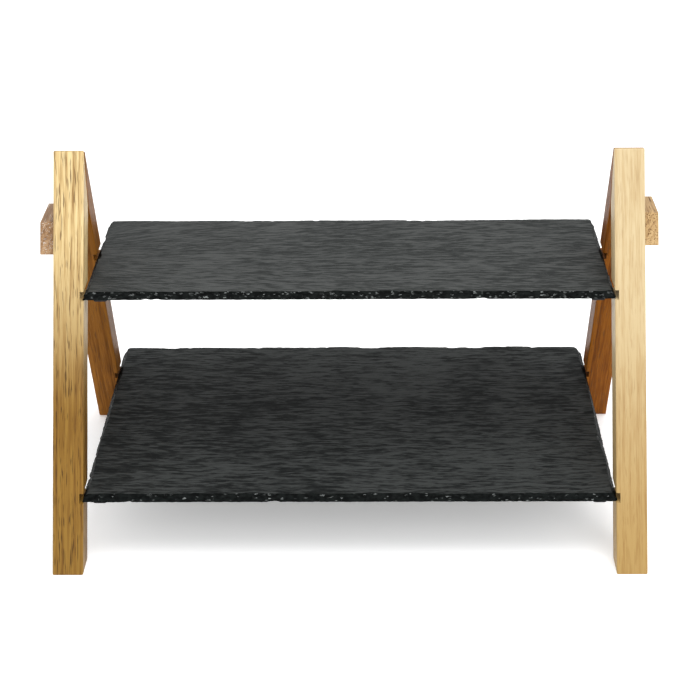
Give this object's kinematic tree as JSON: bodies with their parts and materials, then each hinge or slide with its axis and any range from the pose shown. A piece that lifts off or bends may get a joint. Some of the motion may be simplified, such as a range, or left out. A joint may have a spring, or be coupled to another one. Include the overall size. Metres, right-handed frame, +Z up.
{
  "type": "tiered cake stand",
  "caption": "Tiered cake stand: riven slates slid into cross dados between mitred wooden A-frame ends, one above the other.",
  "frame": {"origin": "middle of the whole stand at floor height, rear overhang of the lower slate included", "axes": "+X to the right along the slates, +Y to the rear, +Z up; the front of the stand faces -Y"},
  "size_m": [0.4644, 0.2931, 0.284],
  "materials": {
    "frame_wood": "oiled honey-coloured hardwood, satin",
    "cleat_wood": "oiled, open end grain",
    "pin_steel": "bright, heads set just under the surface",
    "slate": "riven, chipped edges, lightly oiled",
    "pad_foam": "matt closed-cell foam"
  },
  "bodies": {
    "left_end_frame": {"left_front_leg": "frame_wood", "left_rear_leg": "frame_wood", "left_cleat": "cleat_wood", "left_front_upper_pin": "pin_steel", "left_front_lower_pin": "pin_steel", "left_rear_upper_pin": "pin_steel", "left_rear_lower_pin": "pin_steel"},
    "right_end_frame": {"right_front_leg": "frame_wood", "right_rear_leg": "frame_wood", "right_cleat": "cleat_wood", "right_front_upper_pin": "pin_steel", "right_front_lower_pin": "pin_steel", "right_rear_upper_pin": "pin_steel", "right_rear_lower_pin": "pin_steel"},
    "lower_tier": {"lower_slate": "slate", "lower_front_left_pad": "pad_foam", "lower_front_right_pad": "pad_foam", "lower_rear_left_pad": "pad_foam", "lower_rear_right_pad": "pad_foam"},
    "upper_tier": {"upper_slate": "slate", "upper_front_left_pad": "pad_foam", "upper_front_right_pad": "pad_foam", "upper_rear_left_pad": "pad_foam", "upper_rear_right_pad": "pad_foam"}
  },
  "joints": [
    {"name": "lower_slate_slide", "type": "slide", "parent": "left_end_frame", "child": "lower_tier", "axis": [0, -1, 0], "range_m": [0, 0.272]},
    {"name": "upper_slate_slide", "type": "slide", "parent": "left_end_frame", "child": "upper_tier", "axis": [0, -1, 0], "range_m": [0, 0.16]},
    {"name": "right_frame_pull", "type": "slide", "parent": "left_end_frame", "child": "right_end_frame", "axis": [1, 0, 0], "range_m": [0, 0.03]}
  ]
}
